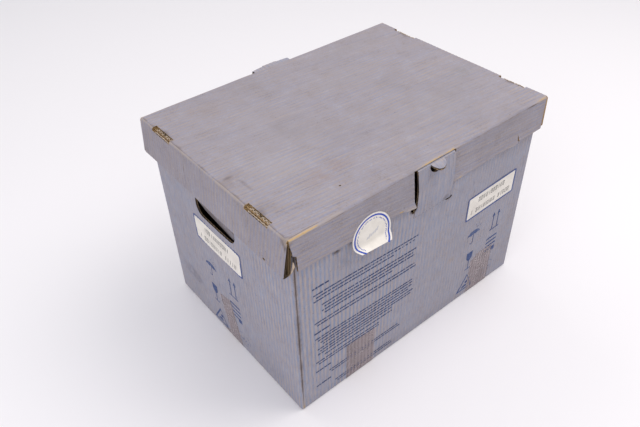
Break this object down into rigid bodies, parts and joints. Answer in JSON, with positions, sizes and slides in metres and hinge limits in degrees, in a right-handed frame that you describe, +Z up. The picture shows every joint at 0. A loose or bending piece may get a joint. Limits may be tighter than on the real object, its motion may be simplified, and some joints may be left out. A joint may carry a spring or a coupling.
{
  "type": "storage carton with lift-off lid",
  "caption": "Corrugated board storage carton with a lift-off lid, locking tongues in the long sides, push-in hand hole flaps in the ends, taped bottom flaps and paper labels.",
  "frame": {"origin": "middle of the footprint, on the surface the carton stands on", "axes": "+X along the long side, -Y out of the front long side, +Z up"},
  "size_m": [0.449, 0.3537, 0.3155],
  "materials": {
    "printed_board": "grey-blue printed liner, faint flute stripes, worn edges",
    "kraft_board": "bare brown kraft liner",
    "packing_tape": "brownish translucent packing tape, slightly wrinkled",
    "paper_label": "white paper with a blue border"
  },
  "bodies": {
    "carton": {"back_bottom_flap": "printed_board", "back_wall": "printed_board", "bottom_seam_tape": "packing_tape", "cross_tape_left": "packing_tape", "cross_tape_right": "packing_tape", "front_bottom_flap": "printed_board", "front_label": "paper_label", "front_wall": "printed_board", "glue_flap": "kraft_board", "left_bottom_flap": "kraft_board", "left_end_label": "paper_label", "left_end_wall": "printed_board", "right_bottom_flap": "kraft_board", "right_end_wall": "printed_board"},
    "lid": {"lid_back_left_skirt": "printed_board", "lid_back_right_skirt": "printed_board", "lid_front_left_skirt": "printed_board", "lid_front_right_skirt": "printed_board", "lid_left_back_dust_flap": "printed_board", "lid_left_front_dust_flap": "printed_board", "lid_left_inner_panel": "printed_board", "lid_left_outer_panel": "printed_board", "lid_left_saddle": "printed_board", "lid_right_back_dust_flap": "printed_board", "lid_right_front_dust_flap": "printed_board", "lid_right_inner_panel": "printed_board", "lid_right_outer_panel": "printed_board", "lid_right_saddle": "printed_board", "lid_top_panel": "printed_board", "seal_sticker": "paper_label"},
    "front_tongue": {"front_tongue": "printed_board"},
    "front_tuck": {"front_tuck_flap": "printed_board"},
    "back_tongue": {"back_tongue": "printed_board"},
    "back_tuck": {"back_tuck_flap": "printed_board"},
    "left_hand_flap": {"left_hand_flap": "printed_board"},
    "right_hand_flap": {"right_hand_flap": "printed_board"}
  },
  "joints": [
    {"name": "lid_lift", "type": "slide", "parent": "carton", "child": "lid", "axis": [0, 0, 1], "range_m": [0, 0.12]},
    {"name": "front_tongue_hinge", "type": "hinge", "parent": "carton", "child": "front_tongue", "pos_m": [0.002, -0.1553, 0.242], "axis": [1, 0, 0], "range_deg": [0, 100]},
    {"name": "front_tuck_fold", "type": "hinge", "parent": "front_tongue", "child": "front_tuck", "pos_m": [0.002, -0.15958, 0.3099], "axis": [-1, 0, 0], "range_deg": [0, 30]},
    {"name": "back_tongue_hinge", "type": "hinge", "parent": "carton", "child": "back_tongue", "pos_m": [-0.002, 0.1553, 0.242], "axis": [-1, 0, 0], "range_deg": [0, 100]},
    {"name": "back_tuck_fold", "type": "hinge", "parent": "back_tongue", "child": "back_tuck", "pos_m": [-0.002, 0.16294, 0.3099], "axis": [1, 0, 0], "range_deg": [0, 30]},
    {"name": "left_hand_flap_hinge", "type": "hinge", "parent": "carton", "child": "left_hand_flap", "pos_m": [-0.2106, 0.006, 0.2467], "axis": [0, -1, 0], "range_deg": [-9, 86]},
    {"name": "right_hand_flap_hinge", "type": "hinge", "parent": "carton", "child": "right_hand_flap", "pos_m": [0.2106, -0.006, 0.2467], "axis": [0, 1, 0], "range_deg": [-9, 86]}
  ]
}
